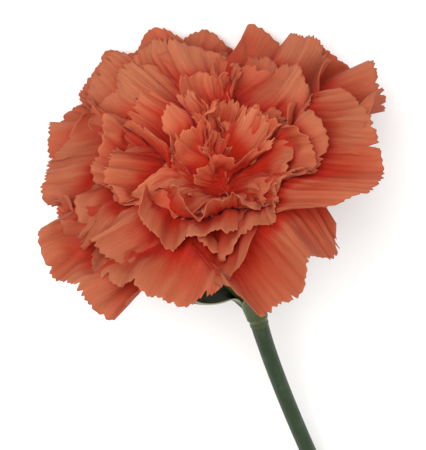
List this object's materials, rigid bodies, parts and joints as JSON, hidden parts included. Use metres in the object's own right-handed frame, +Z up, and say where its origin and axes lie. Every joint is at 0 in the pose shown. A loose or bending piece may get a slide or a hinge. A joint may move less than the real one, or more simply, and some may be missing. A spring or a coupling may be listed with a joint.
{
  "type": "cut carnation flower",
  "caption": "Cut carnation lying on its side: a full double head of ruffled petals in a toothed green calyx with bracts, on a short piece of stem.",
  "frame": {"origin": "middle of the bounding box's base, on the surface that the flower lies on", "axes": "+Z up from the surface; the head is toward +Y and the cut end of the stem toward -Y; +X is to the right seen from above with the head at the top"},
  "size_m": [0.0826, 0.1742, 0.0613],
  "materials": {
    "petal": "matte coral petal tissue, veined, paler at the toothed margin",
    "calyx_green": "smooth green leaf tissue with a faint waxy bloom",
    "stem_green": "smooth dark green stem with a faint waxy bloom"
  },
  "bodies": {
    "root": {"guard_petal_1": "petal", "guard_petal_2": "petal", "guard_petal_3": "petal", "guard_petal_4": "petal", "guard_petal_5": "petal", "guard_petal_6": "petal", "guard_petal_7": "petal", "guard_petal_8": "petal", "guard_petal_9": "petal", "guard_petal_10": "petal", "outer_petal_1": "petal", "outer_petal_2": "petal", "outer_petal_3": "petal", "outer_petal_4": "petal", "outer_petal_5": "petal", "outer_petal_6": "petal", "outer_petal_7": "petal", "outer_petal_8": "petal", "outer_petal_9": "petal", "outer_petal_10": "petal", "middle_petal_1": "petal", "middle_petal_2": "petal", "middle_petal_3": "petal", "middle_petal_4": "petal", "middle_petal_5": "petal", "middle_petal_6": "petal", "middle_petal_7": "petal", "middle_petal_8": "petal", "middle_petal_9": "petal", "middle_petal_10": "petal", "inner_petal_1": "petal", "inner_petal_2": "petal", "inner_petal_3": "petal", "inner_petal_4": "petal", "inner_petal_5": "petal", "inner_petal_6": "petal", "inner_petal_7": "petal", "inner_petal_8": "petal", "inner_petal_9": "petal", "inner_petal_10": "petal", "inner_petal_11": "petal", "inner_petal_12": "petal", "inner_petal_13": "petal", "inner_petal_14": "petal", "inner_petal_15": "petal", "calyx": "calyx_green", "bract_lower": "calyx_green", "bract_upper": "calyx_green", "bract_right": "calyx_green", "bract_left_leaf": "calyx_green", "stem": "stem_green"}
  },
  "joints": []
}
